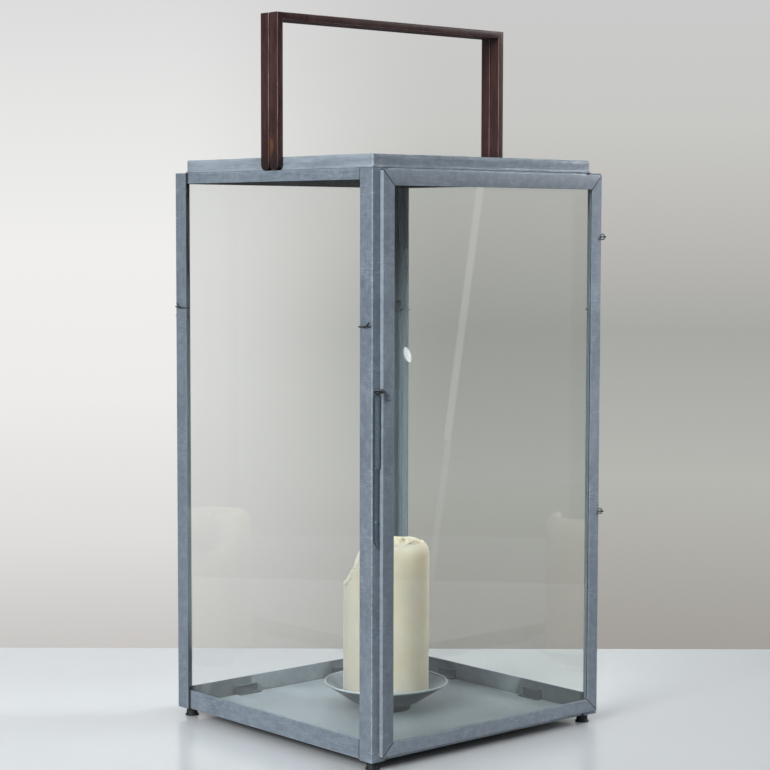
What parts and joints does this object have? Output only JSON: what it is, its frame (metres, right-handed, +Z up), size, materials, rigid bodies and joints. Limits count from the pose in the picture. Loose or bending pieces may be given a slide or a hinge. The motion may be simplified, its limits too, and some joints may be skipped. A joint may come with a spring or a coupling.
{
  "type": "candle lantern",
  "caption": "Square glazed candle lantern in grey sheet metal with a side-hinged glass door, a hook latch, a rigid double-bar handle and a pillar candle on a dish.",
  "frame": {"origin": "middle of the footprint on the table, halfway between the outermost left and right and the outermost front and rear surfaces", "axes": "+Z up along the posts, -Y out through the door, +X towards the hinges, so the viewer facing the door has the latch on the left"},
  "size_m": [0.2836, 0.2922, 0.65],
  "materials": {
    "zinc_sheet": "dull blue-grey patina",
    "floor_sheet": "plain dull sheet",
    "steel_wire": "darkened",
    "spring_steel": "blued, satin",
    "bronzed_steel": "glossy dark bronze, rubbed",
    "rubber": "matt black",
    "glass": "clear float glass",
    "dish_sheet": "dull, bright rim",
    "wax": "ivory candle wax, satin",
    "cotton": "burnt braided cotton"
  },
  "bodies": {
    "lantern": {"post_latch_side": "zinc_sheet", "post_hinge_side": "zinc_sheet", "post_rear_right": "zinc_sheet", "post_rear_left": "zinc_sheet", "bottom_rail_front": "zinc_sheet", "bottom_rail_right": "zinc_sheet", "bottom_rail_rear": "zinc_sheet", "bottom_rail_left": "zinc_sheet", "top_rail_front": "zinc_sheet", "top_rail_right": "zinc_sheet", "top_rail_rear": "zinc_sheet", "top_rail_left": "zinc_sheet", "lid": "zinc_sheet", "floor_plate": "floor_sheet", "glazing_pin_right_a": "steel_wire", "glazing_pin_right_b": "steel_wire", "glazing_pin_rear_a": "steel_wire", "glazing_pin_rear_b": "steel_wire", "glazing_pin_left_a": "steel_wire", "glazing_pin_left_b": "steel_wire", "hinge_staple_upper": "steel_wire", "hinge_staple_lower": "steel_wire", "latch_eye": "steel_wire", "handle_screw_left_front": "steel_wire", "handle_screw_right_front": "steel_wire", "handle_screw_left_rear": "steel_wire", "handle_screw_right_rear": "steel_wire", "pane_clip_right_a": "spring_steel", "pane_clip_right_b": "spring_steel", "pane_clip_rear_a": "spring_steel", "pane_clip_rear_b": "spring_steel", "pane_clip_left_a": "spring_steel", "pane_clip_left_b": "spring_steel", "latch_spring": "spring_steel", "latch_spring_rivet": "spring_steel", "handle_bar_front": "bronzed_steel", "handle_bar_rear": "bronzed_steel", "foot_front_left": "rubber", "foot_front_right": "rubber", "foot_rear_left": "rubber", "foot_rear_right": "rubber", "glass_pane_right": "glass", "glass_pane_rear": "glass", "glass_pane_left": "glass"},
    "door": {"door_stile_latch_side": "zinc_sheet", "door_stile_hinge_side": "zinc_sheet", "door_rail_top": "zinc_sheet", "door_rail_bottom": "zinc_sheet", "door_glass": "glass", "hinge_eye_upper": "steel_wire", "hinge_eye_lower": "steel_wire", "latch_hook_pin": "steel_wire"},
    "latch_hook": {"latch_hook": "steel_wire"},
    "dish": {"candle_dish": "dish_sheet", "dish_foot": "rubber"},
    "candle": {"candle": "wax", "candle_wick": "cotton"}
  },
  "joints": [
    {"name": "door_hinge", "type": "hinge", "parent": "lantern", "child": "door", "pos_m": [0.1369, -0.14265, 0.26], "axis": [0, 0, 1], "range_deg": [0, 165]},
    {"name": "hook_swing", "type": "hinge", "parent": "door", "child": "latch_hook", "pos_m": [-0.126, -0.14175, 0.3193], "axis": [0, 1, 0], "range_deg": [0, 100]},
    {"name": "dish_lift", "type": "slide", "parent": "lantern", "child": "dish", "axis": [0, 0, 1], "range_m": [0, 0.04]},
    {"name": "candle_lift", "type": "slide", "parent": "dish", "child": "candle", "axis": [0, 0, 1], "range_m": [0, 0.2]}
  ]
}
